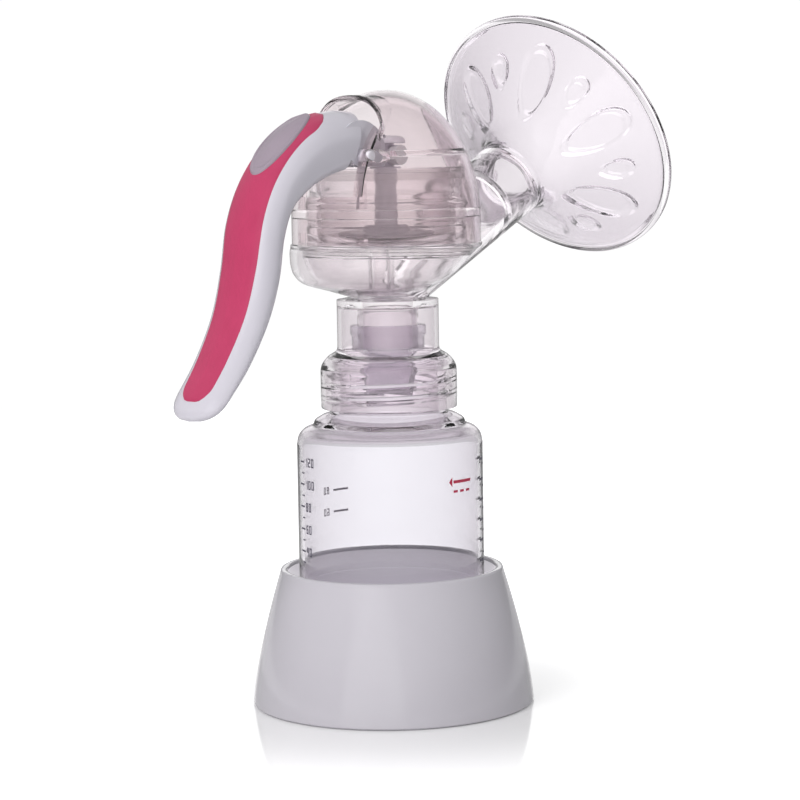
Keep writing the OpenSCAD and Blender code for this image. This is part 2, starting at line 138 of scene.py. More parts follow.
def set_smooth(bm, sharp):
    """Smooth faces, with sharp edges where two faces turn by more than an angle in degrees."""
    for f in bm.faces:
        f.smooth = True
    for e in bm.edges:
        e.smooth = not (e.is_manifold and e.calc_face_angle(0) > math.radians(sharp))


def finish_mesh(bm, name, matrix, sharp):
    """Cleans a mesh made in millimetres, scales it to metres and puts it in the scene."""
    bmesh.ops.remove_doubles(bm, verts=bm.verts, dist=1e-4)
    bmesh.ops.dissolve_degenerate(bm, edges=bm.edges, dist=1e-5)
    bmesh.ops.recalc_face_normals(bm, faces=bm.faces)
    set_smooth(bm, sharp)
    if matrix is not None:
        bm.transform(matrix)
    bm.transform(Matrix.Scale(MM, 4))
    mesh = bpy.data.meshes.new(name)
    bm.to_mesh(mesh)
    bm.free()
    piece = bpy.data.objects.new(name, mesh)
    bpy.context.scene.collection.objects.link(piece)
    return piece


def skin(name, loops, wrap=False, matrix=None, sharp=38):
    """A closed mesh over rings of points; wrap joins the last ring to the first."""
    loops = np.array(loops, float)
    m, n = loops.shape[:2]
    bm = bmesh.new()
    v = [[bm.verts.new(q) for q in ring] for ring in loops]
    for i in range(m if wrap else m - 1):
        low, high = v[i], v[(i + 1) % m]
        for k in range(n):
            bm.faces.new((low[k], low[(k + 1) % n], high[(k + 1) % n], high[k]))
    if not wrap:
        for ring, points in ((v[0], loops[0]), (v[-1], loops[-1])):
            if np.ptp(points, axis=0).max() > 1e-3:
                bm.faces.new(ring)
    return finish_mesh(bm, name, matrix, sharp)


def lathe(name, outline, steps=144, matrix=None, shift=None, sharp=38):
    """A closed (radius, height) outline turned about Z; shift(z) sets each ring back along X."""
    a = np.linspace(0, 2 * math.pi, steps, endpoint=False)
    rings = [np.c_[r * np.cos(a) - (shift(z) if shift else 0), r * np.sin(a),
                   np.full(steps, z)] for r, z in outline]
    return skin(name, rings, True, matrix, sharp)


def prism(name, outline, width, bevel=0.0, matrix=None):
    """An outline in X and Z across the width along Y, its long edges bevelled."""
    bm = bmesh.new()
    side = [bm.verts.new((x, -width / 2, z)) for x, z in outline]
    face = bm.faces.new(side)
    for f in bmesh.ops.extrude_face_region(bm, geom=[face])["geom"]:
        if isinstance(f, bmesh.types.BMVert):
            f.co.y = width / 2
    if bevel:
        edges = [e for e in bm.edges if abs(e.verts[0].co.y - e.verts[1].co.y) < 1e-6]
        bmesh.ops.bevel(bm, geom=edges, offset=bevel, segments=3, profile=0.5,
                        affect="EDGES", clamp_overlap=True)
    return finish_mesh(bm, name, matrix, 38)


def bar(name, r, x0, x1, y=0, z=0, along="X", steps=96, r2=None):
    """A plain round cutter or boss along one axis, from x0 to x1."""
    a = np.linspace(0, 2 * math.pi, steps, endpoint=False)
    loops = []
    for x, rad in ((x0, r), (x1, r if r2 is None else r2)):
        u, w = rad * np.cos(a), rad * np.sin(a)
        if along == "X":
            loops.append(np.c_[np.full(steps, x), y + u, z + w])
        elif along == "Y":
            loops.append(np.c_[y + u, np.full(steps, x), z + w])
        else:
            loops.append(np.c_[y + u, z + w, np.full(steps, x)])
    return skin(name, loops)


def squared(a, b, power, steps):
    """An ellipse's two coordinates; a power above 2 squares its corners."""
    t = np.linspace(0, 2 * math.pi, steps, endpoint=False)
    c, s = np.cos(t), np.sin(t)
    return a * np.sign(c) * abs(c) ** (2 / power), b * np.sign(s) * abs(s) ** (2 / power)


def arch(name, wide, tall, x0, x1, z, power=2.5, steps=128):
    """A squarish round boss along X, wide and tall from its centre line at height z."""
    y, up = squared(wide, tall, power, steps)
    return skin(name, [np.c_[np.full(steps, x), y, z + up] for x in (x0, x1)])


def block(name, lo, hi):
    """A plain box between two corners."""
    return prism(name, [(lo[0], lo[2]), (hi[0], lo[2]), (hi[0], hi[2]), (lo[0], hi[2])],
                 hi[1] - lo[1], matrix=Matrix.Translation((0, (lo[1] + hi[1]) / 2, 0)))


def combine(piece, tool, way):
    """Applies a boolean of tool to piece and removes the tool."""
    for solver in ("MANIFOLD", "EXACT"):
        step = piece.modifiers.new("step", "BOOLEAN")
        step.operation, step.object, step.solver = way, tool, solver
        dg = bpy.context.evaluated_depsgraph_get()
        made = bpy.data.meshes.new_from_object(piece.evaluated_get(dg))
        piece.modifiers.clear()
        if len(made.vertices) > 8:
            break
    else:
        print("boolean left nothing:", piece.name, tool.name)
    piece.data = made
    bpy.data.objects.remove(tool)
    return piece


def add(piece, *tools):
    for tool in tools:
        combine(piece, tool, "UNION")
    return piece


def cut(piece, *tools):
    for tool in tools:
        combine(piece, tool, "DIFFERENCE")
    return piece


def keep(piece, tool):
    return combine(piece, tool, "INTERSECT")


def tidy(piece, sharp=32):
    """Cleans a boolean's result and sets its smooth and sharp edges."""
    bm = bmesh.new()
    bm.from_mesh(piece.data)
    bmesh.ops.remove_doubles(bm, verts=bm.verts, dist=2e-6)
    bmesh.ops.dissolve_degenerate(bm, edges=bm.edges, dist=1e-6)
    bmesh.ops.triangulate(bm, faces=[f for f in bm.faces if len(f.verts) > 4])
    bmesh.ops.recalc_face_normals(bm, faces=bm.faces)
    set_smooth(bm, sharp)
    bm.to_mesh(piece.data)
    bm.free()
    return piece


def settle(piece, body, node, material):
    """Gives a piece its material and body, and hides the CAD nodes it stands for."""
    piece.data.materials.clear()
    piece.data.materials.append(material)
    if body:
        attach(piece, body)
    for n in [node] if isinstance(node, str) else (node or []):
        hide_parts(n)
    return piece


# ---------------- materials

def new_node(tree, kind, **values):
    """Adds a shader node, with values for its sockets."""
    node = tree.nodes.new("ShaderNode" + kind)
    for key, value in values.items():
        node.inputs[key.replace("_", " ")].default_value = value
    return node


def smooth_step(tree, source, lo_in, hi_in, lo_out, hi_out):
    """A smooth step of a value from one range to another."""
    step = new_node(tree, "MapRange", From_Min=lo_in, From_Max=hi_in, To_Min=lo_out,
                    To_Max=hi_out)
    step.interpolation_type = "SMOOTHSTEP"
    tree.links.new(source, step.inputs["Value"])
    return step.outputs["Result"]


def plastic(name, colour, rough=0.3, grain=900.0, bump=0.02, vary=0.06, edge=None, mottle=None,
            bands=None, **sockets):
    """Principled finish with fine procedural grain in roughness, relief and colour."""
    mat = bpy.data.materials.new(name)
    mat.use_nodes = True
    tree = mat.node_tree
    links = tree.links
    shader = tree.nodes["Principled BSDF"]
    shader.inputs["Base Color"].default_value = (*colour, 1)
    shader.inputs["Roughness"].default_value = rough
    for key, value in sockets.items():
        shader.inputs[key.replace("_", " ")].default_value = value

    place = new_node(tree, "TexCoord")
    fine = new_node(tree, "TexNoise", Scale=grain, Detail=4)
    links.new(place.outputs["Object"], fine.inputs["Vector"])
    relief = new_node(tree, "Bump", Strength=bump, Distance=0.0004)
    links.new(fine.outputs["Fac"], relief.inputs["Height"])
    links.new(relief.outputs["Normal"], shader.inputs["Normal"])

    broad = new_node(tree, "TexNoise", Scale=grain / 14, Detail=3)
    links.new(place.outputs["Object"], broad.inputs["Vector"])
    gloss = new_node(tree, "MapRange", To_Min=max(rough - vary, 0.0), To_Max=rough + vary)
    links.new(broad.outputs["Fac"], gloss.inputs["Value"])
    links.new(gloss.outputs["Result"], shader.inputs["Roughness"])

    last = None
    if bands:
        # tints by height, for walls that are thicker there: (height in mm, colour)
        height = new_node(tree, "SeparateXYZ")
        links.new(place.outputs["Object"], height.inputs[0])
        first, final = bands[0][0] * MM, bands[-1][0] * MM
        spread = new_node(tree, "MapRange", From_Min=first, From_Max=final)
        links.new(height.outputs["Z"], spread.inputs["Value"])
        tints = new_node(tree, "ValToRGB")
        stops = tints.color_ramp.elements
        for k, (z, shade) in enumerate(bands):
            stop = stops[k] if k < 2 else stops.new(1.0)
            stop.position = (z * MM - first) / (final - first)
            stop.color = (*shade, 1)
        links.new(spread.outputs["Result"], tints.inputs["Fac"])
        last = tints.outputs["Color"]
    if mottle:
        tint = new_node(tree, "ValToRGB")
        for stop, at, shade in zip(tint.color_ramp.elements, (0.3, 0.7), (mottle, colour)):
            stop.position, stop.color = at, (*shade, 1)
        links.new(broad.outputs["Fac"], tint.inputs["Fac"])
        last = tint.outputs["Color"]
    # painted shade: the base colour darkens towards the wall's edge-on outline
    if edge:
        facing = new_node(tree, "LayerWeight", Blend=edge[1])
        rim = new_node(tree, "Mix")
        rim.data_type = "RGBA"
        rim.inputs["A"].default_value = (*colour, 1)
        rim.inputs["B"].default_value = (*edge[0], 1)
        if last:
            links.new(last, rim.inputs["A"])
        links.new(facing.outputs["Facing"], rim.inputs["Factor"])
        last = rim.outputs["Result"]
    if last:
        links.new(last, shader.inputs["Base Color"])
    return mat


def clear(name, colour, rough, grain, bump, vary, ior, through=1.0, **more):
    """A see-through plastic or silicone."""
    return plastic(name, colour, rough, grain, bump, vary, Transmission_Weight=through,
                   IOR=ior, **more)


# each material's colour, roughness, grain, relief and spread of the roughness, then a clear
# one's index; an edge shade is painted shade: a darker colour laid on a wall seen edge on,
# for the dark outlines of clear walls and the deeper tint of their longer path there, and
# how far it spreads
RIM_SHADE, DARK_RIM_SHADE = ((0.32, 0.27, 0.31), 0.19), ((0.24, 0.19, 0.24), 0.16)
LIGHT, THICK, RING = (1.0, 0.98, 0.99), (0.93, 0.90, 0.92), (0.76, 0.72, 0.765)
FOOT, MIDDLE_TINT, NECK = (0.93, 0.92, 0.95), (0.825, 0.815, 0.84), (0.93, 0.90, 0.93)
stand_mat = plastic("stand_gloss", (0.58, 0.56, 0.61), 0.16, 700, 0.02, 0.03,
                    mottle=(0.565, 0.545, 0.595), Coat_Weight=0.6, Coat_Roughness=0.06)
# painted light: the stand's inner faces glow, so the lip and cup show pale through the bottle
core_glow_mat = plastic("stand_inner_glow", (0.36, 0.345, 0.37), 0.3, 700, 0.02, 0.03,
                   Emission_Color=(0.9, 0.86, 0.92, 1), Emission_Strength=0.45)
clear_mat = clear("clear_plastic", LIGHT, 0.06, 260, 0.015, 0.02, 1.36, edge=RIM_SHADE,
                  bands=((85, THICK), (117, THICK), (121, LIGHT), (180, LIGHT)))
shield_mat = clear("shield_plastic", (0.955, 0.925, 0.955), 0.02, 260, 0.015, 0.012, 1.4,
                   edge=DARK_RIM_SHADE)
bottle_mat = clear("bottle_plastic", (0.96, 0.94, 0.975), 0.03, 240, 0.02, 0.015, 1.32, edge=RIM_SHADE,
                   bands=((0, FOOT), (37, FOOT), (43, MIDDLE_TINT), (79, MIDDLE_TINT),
                          (82, RING), (86, RING), (89, NECK), (110, NECK)))
dome_mat = clear("tinted_dome", (0.905, 0.845, 0.86), 0.05, 300, 0.02, 0.03, 1.34,
                 edge=((0.52, 0.46, 0.49), 0.19))
# painted light: a paler, less refracting copy of the dome's tinted plastic for the slot's plates, so
# they don't show dark
jamb_lightened_mat = clear("slot_jamb_lightened", (0.97, 0.94, 0.95), 0.08, 300, 0.02, 0.03, 1.15)
cup_mat = clear("cup_plastic", (1.0, 0.985, 0.99), 0.05, 300, 0.03, 0.03, 1.28, edge=RIM_SHADE)
film_mat = clear("silicone_film", (1.0, 0.985, 0.985), 0.14, 500, 0.05, 0.04, 1.2, 0.92,
                 edge=((0.80, 0.75, 0.79), 0.15))
cushion_mat = clear("silicone_cushion", (0.97, 0.945, 0.97), 0.07, 420, 0.05, 0.04, 1.38,
                    edge=DARK_RIM_SHADE)
valve_mat = clear("silicone_valve", (0.93, 0.90, 0.94), 0.2, 500, 0.06, 0.05, 1.25, 0.93,
                  edge=((0.50, 0.46, 0.54), 0.25))
rod_mat = plastic("rod_plastic", (0.93, 0.89, 0.96), 0.28, 800, 0.03, 0.05,
                  mottle=(0.90, 0.86, 0.93), Coat_Weight=0.2)
handle_mat = plastic("handle_gloss", (0.62, 0.60, 0.665), 0.2, 800, 0.02, 0.04,
                     mottle=(0.605, 0.585, 0.65), Coat_Weight=0.5, Coat_Roughness=0.08)
fork_mat = plastic("fork_pale", (0.88, 0.86, 0.89), 0.3, 800, 0.02, 0.04)
grip_mat = plastic("soft_grip", (0.50, 0.042, 0.125), 0.42, 1800, 0.10, 0.05,
                   mottle=(0.47, 0.038, 0.115), Sheen_Weight=0.06, Sheen_Roughness=0.4)
badge_mat = plastic("badge_satin", (0.36, 0.30, 0.36), 0.3, 1500, 0.08, 0.05,
                    mottle=(0.34, 0.28, 0.34), Metallic=0.1)
mark_mat = plastic("print_grey", (0.09, 0.08, 0.12), 0.5, 1500, 0.05, 0.06)
red_mat = plastic("print_red", (0.50, 0.03, 0.08), 0.5, 1500, 0.05, 0.06)
faint_mat = plastic("print_faint", (0.55, 0.50, 0.56), 0.5, 1500, 0.05, 0.06)


# ---------------- stand

pocket_r = bottle_r + 0.8
sleeve_r = pocket_r + 1.8
top_r = foot_r - 9.0
ledge_z = stand_h - 4


def stand_r(z):
    """The stand's outer radius at a height."""
    return foot_r - (foot_r - top_r) * (max(z, 0) / stand_h) ** 1.4


skin_z = np.linspace(0.9, stand_h - 1.4, 44)
outside = [(foot_r - 0.75, 0.0, 0.3), (foot_r - 0.03, 0.55, 0.3)] + [
    (stand_r(z), z) for z in skin_z]
inside = [(stand_r(z) - 2.2, z) for z in np.linspace(ledge_z - 2.2, 0.0, 30)]
stand = lathe("stand_shell", soften(
    [(pocket_r, ledge_z - 2.2, 0.3)] + inside + outside
    + [(top_r + 0.1, stand_h - 0.1, 0.9), (top_r - 1.7, stand_h - 0.1, 0.8),
       (top_r - 2.2, stand_h - 1.6, 0.8), (pocket_r + 0.7, ledge_z + 0.2, 0.9),
       (pocket_r, ledge_z - 0.5, 0.4)], 0.25), 192)
settle(stand, "stand", "stand", stand_mat)

# the inner face of the lip, with a painted glow so it shows pale through the bottle
lining = lathe("stand_lining", soften(
    [(pocket_r + 0.3, ledge_z - 2.1), (pocket_r - 0.3, ledge_z - 2.1, 0.2),
     (pocket_r - 0.3, ledge_z - 0.4, 0.3), (pocket_r + 0.5, ledge_z + 0.4, 0.7),
     (top_r - 2.4, stand_h - 1.5, 0.6), (top_r - 2.1, stand_h - 0.9, 0.3),
     (top_r - 1.7, stand_h - 1.6, 0.2), (pocket_r + 1.0, ledge_z - 0.1, 0.6)], 0.2), 192)
settle(lining, "stand", "stand", core_glow_mat)

core_top = ledge_z - 2.24
core = lathe("stand_cup", soften(
    [(0, 0), (sleeve_r, 0, 0.5), (sleeve_r, core_top), (pocket_r, core_top, 0.4),
     (pocket_r, bottle_z - 0.3, 1.2), (0, bottle_z - 0.3)], 0.4), 144)
rib_z = np.linspace(1.4, core_top - 2, 14)
rib = [(sleeve_r - 0.6, 1.4)] + [(stand_r(z) - 2.3, z) for z in rib_z] + [
    (sleeve_r - 0.6, core_top - 2)]
add(core, *[prism(f"rib{k}", rib, 1.8, 0.3, Matrix.Rotation(math.radians(60 * k), 4, "Z"))
            for k in range(6)])
settle(tidy(core), "stand", "stand_core", core_glow_mat)


# ---------------- bottle and seal

neck_z = 86.8
shoulder_z = 77.5
root_r, thread_r, pitch = 17.0, 18.5, 3.6
wall = 1.4


def arc(cx, cz, r, a0, a1, steps):
    """Points of an arc about (cx, cz), from angle a0 to a1 in degrees."""
    return [(cx + r * math.cos(math.radians(a)), cz + r * math.sin(math.radians(a)))
            for a in np.linspace(a0, a1, steps)]


shoulder = curve([(bottle_r, shoulder_z), (26.9, 80.1), (25.2, 82.0), (22.6, 83.0)], 6)
shoulder_in = curve([(bottle_r - wall, shoulder_z), (25.4, 79.5), (23.4, 81.0), (20.4, 82.0)], 6)
bottle = lathe("bottle_clear", soften(
    [(0, bottle_z + 1.6)] + curve([(6, bottle_z + 1.5), (14, bottle_z + 0.9),
                                  (19, bottle_z + 0.25)], 4)
    + arc(bottle_r - 4, bottle_z + 4, 4, -90, 0, 10) + shoulder
    + [(22.1, 84.6, 0.6), (root_r + 2.8, neck_z - 0.8, 0.6), (root_r, neck_z, 0.8),
       (root_r, neck_top - 1.4, 0.5), (16.4, neck_top - 1.1, 0.3), (16.4, neck_top, 0.4),
       (14.6, neck_top, 0.4), (14.6, neck_z, 1.2), (16, 84.4, 1.2)]
    + shoulder_in[::-1] + arc(bottle_r - 4, bottle_z + 4, 2.6, 0, -90, 8)
    + curve([(19, bottle_z + 1.6), (14, bottle_z + 2.3), (6, bottle_z + 2.9)], 4)
    + [(0, bottle_z + 3.0)], 0.4), 192)


def helix(name, r_in, r_out, z0, turns, lead, base, crest, steps=72):
    """A thread ridge: a trapezoid swept up a helix, tapering at both ends."""
    loops = []
    count = int(turns * steps)
    for i in range(count + 1):
        t = i / count
        a = 2 * math.pi * turns * t
        z = z0 + lead * turns * t
        run = min(1, 8 * t, 8 * (1 - t))
        rise = max(0.04, math.sin(run * math.pi / 2))
        top = r_in + (r_out - r_in) * rise
        under = r_in - 0.5 * (1 if r_out > r_in else -1)
        section = [(under, -base / 2), (r_in, -base / 2), (top, -crest / 2 * rise),
                   (top, crest / 2 * rise), (r_in, base / 2), (under, base / 2)]
        loops.append([(r * math.cos(a), r * math.sin(a), z + dz) for r, dz in section])
    return skin(name, loops)


add(bottle, helix("ridge", root_r, thread_r, neck_z + 2.3, 2.6, pitch, 2.4, 1.0))
settle(tidy(bottle), "bottle", "bottle", bottle_mat)

seal = lathe("neck_washer", soften(
    [(14.8, seal_lo.z), (seal_hi.x, seal_lo.z), (seal_hi.x, seal_hi.z),
     (14.8, seal_hi.z)], 0.15), 144)
settle(seal, "neck seal", "neck_seal", film_mat)


def wrapped(name, shapes, r, thick=0.1):
    """Thin printed shapes laid round an upright cylinder. A shape is an outline of
    (angle in degrees, height)."""
    bm = bmesh.new()
    for shape in shapes:
        fine = []
        for i, p in enumerate(shape):
            q = shape[(i + 1) % len(shape)]
            parts = max(1, int(abs(q[0] - p[0]) / 1.5))
            fine += [(p[0] + (q[0] - p[0]) * k / parts, p[1] + (q[1] - p[1]) * k / parts)
                     for k in range(parts)]
        rows = []
        for rad in (r + 0.02, r + thick):
            rows.append([bm.verts.new((rad * math.cos(math.radians(a)),
                                       rad * math.sin(math.radians(a)), z)) for a, z in fine])
        n = len(fine)
        for k in range(n):
            bm.faces.new((rows[0][k], rows[0][(k + 1) % n], rows[1][(k + 1) % n], rows[1][k]))
        bm.faces.new(rows[0])
        bm.faces.new(rows[1][::-1])
    bmesh.ops.triangulate(bm, faces=[f for f in bm.faces if len(f.verts) > 4])
    return finish_mesh(bm, name, None, 30)


# seven-segment strokes of each numeral, in a cell 1 wide and 2 high
STROKES = {"top": (0, 1.72, 1, 2.0), "mid": (0, 0.86, 1, 1.14), "low": (0, 0, 1, 0.28),
           "tl": (0, 1, 0.28, 2), "tr": (0.72, 1, 1, 2), "bl": (0, 0, 0.28, 1),
           "br": (0.72, 0, 1, 1)}
NUMERALS = {"0": "top low tl tr bl br", "1": "tr br", "2": "top mid low tr bl",
            "4": "mid tl tr br", "6": "top mid low tl bl br", "8": "top mid low tl tr bl br"}


def numeral(text, a0, z0, height, r):
    """Outlines of a number beside a graduation bar, each stroke a small bar."""
    cell = math.degrees(height / 2 * 0.9 / r)
    found = []
    for i, ch in enumerate(text):
        for s in NUMERALS[ch].split():
            x0, y0, x1, y1 = STROKES[s]
            left = a0 + cell * 1.5 * i
            found.append([(left + cell * x, z0 + height / 2 * y) for x, y in
                          ((x0, y0), (x1, y0), (x1, y1), (x0, y1))])
    return found


def bar_mark(a0, a1, z, tall):
    """A level printed bar between two angles."""
    return [(a0, z - tall / 2), (a1, z - tall / 2), (a1, z + tall / 2), (a0, z + tall / 2)]


# a numbered scale at the left, ticks at the right, a pointer mark, and marks at the back
dark, red, faint = [], [], []
for k, volume in enumerate(("40", "60", "80", "100", "120")):
    z = 47 + 6.6 * k
    dark.append(bar_mark(151, 157, z, 0.5))
    dark.append(bar_mark(153.5, 157, z - 3.3, 0.4))
    dark += numeral(volume, 159, z - 1.3, 2.6, bottle_r)
    dark.append(bar_mark(-58, -55, z - 2, 0.5))
for z in (53.0, 59.5):
    faint.append(bar_mark(72, 84, z, 0.6))
    faint += numeral("60" if z < 56 else "80", 88, z - 1.0, 2.2, bottle_r)
for z in (43, 49, 55, 61, 67, 73):
    dark.append(bar_mark(-66, -57, z, 0.7))
red.append(bar_mark(-96, -80, 68.0, 0.9))
red.append([(-99.5, 68), (-97, 66.6), (-97, 69.4)])
red += [bar_mark(-96 + 5.6 * k, -92.6 + 5.6 * k, 65.2, 0.7) for k in range(3)]
for name, shapes, mat in (("scale_marks", dark, mark_mat), ("level_marks", red, red_mat),
                          ("back_marks", faint, faint_mat)):
    settle(wrapped(name, shapes, bottle_r), "bottle", None, mat)


# ---------------- pump body

skirt_r, collar_r = 20.1, 15.0
seat_z = neck_top + 0.6
body = lathe("pump_body_clear", soften(
    [(collar_r, plate_z, 0.3), (collar_r, 104.9, 1.2), (skirt_r - 2.2, 103.4, 1.6),
     (skirt_r, 100.5, 1.6), (skirt_r, skirt_z, 0.5), (19, skirt_z, 0.4), (19, 99.4, 0.5),
     (16.75, 101.6, 0.4), (16.75, seat_z, 0.3), (13.7, seat_z, 0.3), (13.7, plate_z - 2, 1.0),
     (9, plate_z - 2, 0.8), (9, 106, 0.3), (7.4, 106, 0.3), (7.4, plate_z - 0.4, 0.5),
     (0, plate_z - 0.4), (0, plate_z + 0.4), (12.5, plate_z + 0.4), (collar_r - 0.3, plate_z)],
    0.4), 160)
add(body, helix("inner_ridge", 19.0, 18.75, skirt_z + 1.9, 2.4, pitch, 1.6, 0.8))

# the bowl: rings whose centres swing towards the handle and back
BOWL = np.array(curve([(120.0, 9.5, 0), (120.9, 11.0, 0.8), (122.9, 14.8, 4.0),
                       (125, 19.9, 6.5), (127.5, 23.4, 5.5), (130.3, 25.35, 4.2),
                       (134, 27.25, 1.85), (135.4, 28.0, 0.4), (bowl_top, bowl_r, 0)], 5))


def bowl_shift(z):
    """How far the bowl's ring at height z swings towards the handle."""
    return float(np.interp(z, BOWL[:, 0], BOWL[:, 2]))


def bowl_line(inset, floor):
    """The bowl's outline, set in by inset and a little more where it slopes."""
    line = []
    for z, r, _ in BOWL:
        slope = 0.0 if z > 127 else inset * 0.35 * (127 - z) / 7
        if z >= floor:
            line.append((max(r - inset - slope, 0.5), z))
    return line


def bowl_form(name, inset, floor, top):
    """A solid of the bowl, set in by inset, from the floor up to top."""
    line = [q for q in bowl_line(inset, floor) if q[1] < top - 0.05]
    r_top = bowl_r - inset
    return lathe(name, [(0, line[0][1])] + line + [(r_top, top), (0, top)], 144,
                 shift=bowl_shift)


def on_shield(piece):
    """Lays a piece made along Z onto the shield's tilted axis."""
    piece.data.transform(Matrix.Scale(MM, 4) @ on_axis @ Matrix.Scale(1 / MM, 4))
    return piece


def column(name, r, z0, z1=200):
    return bar(name, r, z0, z1, along="Z", steps=144)


bowl = bowl_form("bowl", 0, plate_z, bowl_top)
cut(bowl, bowl_form("bowl_in", 2.0, plate_z + 1.6, bowl_top + 1))
clear_r = dome_r + 0.5
tube = on_shield(bar("tube", 9.6, 0, 62, along="Z", steps=144, r2=12.0))
cut(tube, column("t1", clear_r, bowl_top), block("t2", (-70, -70, 40), (70, 70, plate_z)),
    bowl_form("t3", 1.0, plate_z + 0.9, bowl_top + 1))
low = on_shield(bar("low", 4.6, 8, 42, 6.2, 0, along="Z"))
cut(low, column("l1", bowl_r - 2, cup_floor - 0.3), column("l2", clear_r, bowl_top),
    block("l3", (-70, -70, 40), (70, 70, plate_z)))
add(body, bowl, tube, low, bar("hub", 5.4, plate_z + 0.2, plate_z + 4, -2.5, 0, "Z"))

# the inner funnel that shows through the bowl
FUNNEL = [(132.8, 23.6), (129, 20.8), (126.9, 18.4), (125, 14.9), (123.5, 12.1), (121.8, 8.2)]
line = curve([(r, z) for z, r in FUNNEL], 6)
inner = lathe("inner_funnel", soften([(r - 1.1, z + 0.3) for r, z in line] + line[::-1], 0.2),
              128, shift=lambda z: 0.75 * bowl_shift(z))
cut(inner, on_shield(bar("way", 8.3, -2, 40, along="Z")))
add(body, inner)

bore = on_shield(bar("bore", 8.4, 0, 63, along="Z", steps=144))
cut(bore, column("b1", clear_r + 1.6, bowl_top - 1.6),
    block("b2", (-70, -70, 40), (70, 70, plate_z + 1.4)),
    bowl_form("b3", 0.0, plate_z, bowl_top))
low_bore = on_shield(bar("low_bore", 3.1, 3, 40, 6.2, 0, along="Z"))
cut(low_bore, block("c1", (-70, -70, 40), (70, 70, plate_z - 0.9)),
    column("c2", bowl_r - 2, cup_floor - 1.6), column("c3", clear_r + 1.6, bowl_top - 1.6))
socket = on_shield(bar("socket", 10, 48, 68, along="Z", steps=144))
cut(body, bore, socket, low_bore, bar("port", 2.2, 110, 130, -2.5, 0, "Z"),
    bar("seat", 3.8, plate_z + 1.8, plate_z + 11.8, -2.5, 0, "Z"))
settle(tidy(body, 26), "pump body", "pump_body", clear_mat)


# ---------------- valve

def oval(a, b, z, power=2.0, steps=96):
    """A flat ring at height z."""
    return np.c_[(*squared(a, b, power, steps), np.full(steps, z))]


valve_r = 11.2
bill_z = 103.5
bill = [oval(r, r, z) for r, z in
        ((7.4, bill_z + 1.8), (8.4, bill_z + 1.2), (9.0, bill_z + 0.2))]
for t in np.linspace(0, 1, 14):
    z = bill_z - (bill_z - valve_end - 0.1) * t
    bill.append(oval(9.0 * (1 - t) + 1.1 * t, 8.6 + 0.3 * t, z, 2.0 + 1.6 * t))
bill.append(oval(0.7, 8.5, valve_end, 3.6))
for t in np.linspace(1, 0, 12):
    z = bill_z + 1.0 - (bill_z - valve_end - 1.6) * t
    bill.append(oval(7.2 * (1 - t) + 0.18 * t, 7.2, z, 2.0 + 1.6 * t))
valve = skin("valve_bill", bill, True)
add(valve, lathe("sleeve", soften(
    [(valve_r, valve_top, 0.6), (9.02, valve_top, 0.5), (9.02, bill_z + 2), (6.1, bill_z + 2, 0.4),
     (6.1, bill_z + 0.4, 0.4), (valve_r - 1.6, bill_z + 0.2, 0.5), (valve_r - 0.5, bill_z + 1.4, 0.6),
     (valve_r - 0.5, valve_top - 3.4, 0.5), (valve_r, valve_top - 2.8, 0.5)], 0.4), 120))
settle(tidy(valve), "pump body", "duckbill_valve", valve_mat)


# ---------------- cup, seal, diaphragm, rod

cup_r, rim_r, cup_bore = 23.4, 22.4, 20.8
flange_r = bowl_r - 2.05
cup = lathe("vacuum_cup_clear", soften(
    [(0, cup_floor), (flange_r - 0.3, cup_floor, 0.4), (flange_r, cup_floor + 0.8, 0.2),
     (flange_r, cup_floor + 0.9, 0), (flange_r - 1, cup_floor + 0.9, 0.1),
     (flange_r - 1, cup_floor + 2.1, 0.1), (flange_r, cup_floor + 2.1, 0.1),
     (flange_r, bowl_top - 0.2, 0.3), (cup_r, bowl_top - 0.2, 0.6), (cup_r, 141.5, 0.3),
     (cup_r - 0.35, 141.8, 0.3), (cup_r - 0.35, 142.9, 0.3), (cup_r, 143.2, 0.3),
     (cup_r, 147, 0.3), (cup_r + 0.7, 147.5, 0.4), (cup_r + 0.7, 148.3, 0.4),
     (cup_r, 148.9, 0.3), (cup_r, 149.6, 0.5), (rim_r, 151, 0.5), (rim_r, cup_top, 0.5),
     (cup_bore, cup_top, 0.5), (cup_bore, cup_floor + 1.5, 1.4), (0, cup_floor + 1.5)],
    0.3), 160)
add(cup, bar("pipe", 3.75, plate_z + 1.9, cup_floor + 0.2, -2.5, 0, "Z", 64))
cut(cup, bar("pipe_bore", 2.2, 110, 150, -2.5, 0, "Z", 64))
settle(tidy(cup), "pump body", "vacuum_cup", cup_mat)

groove_z = cup_floor + 0.95
ring = lathe("cup_ring", soften(
    [(flange_r - 0.95, groove_z, 0.4), (flange_r + 0.02, groove_z, 0.5),
     (flange_r + 0.02, groove_z + 1.1, 0.5), (flange_r - 0.95, groove_z + 1.1, 0.4)], 0.4, 4), 144)
settle(ring, "pump body", "cup_seal", film_mat)

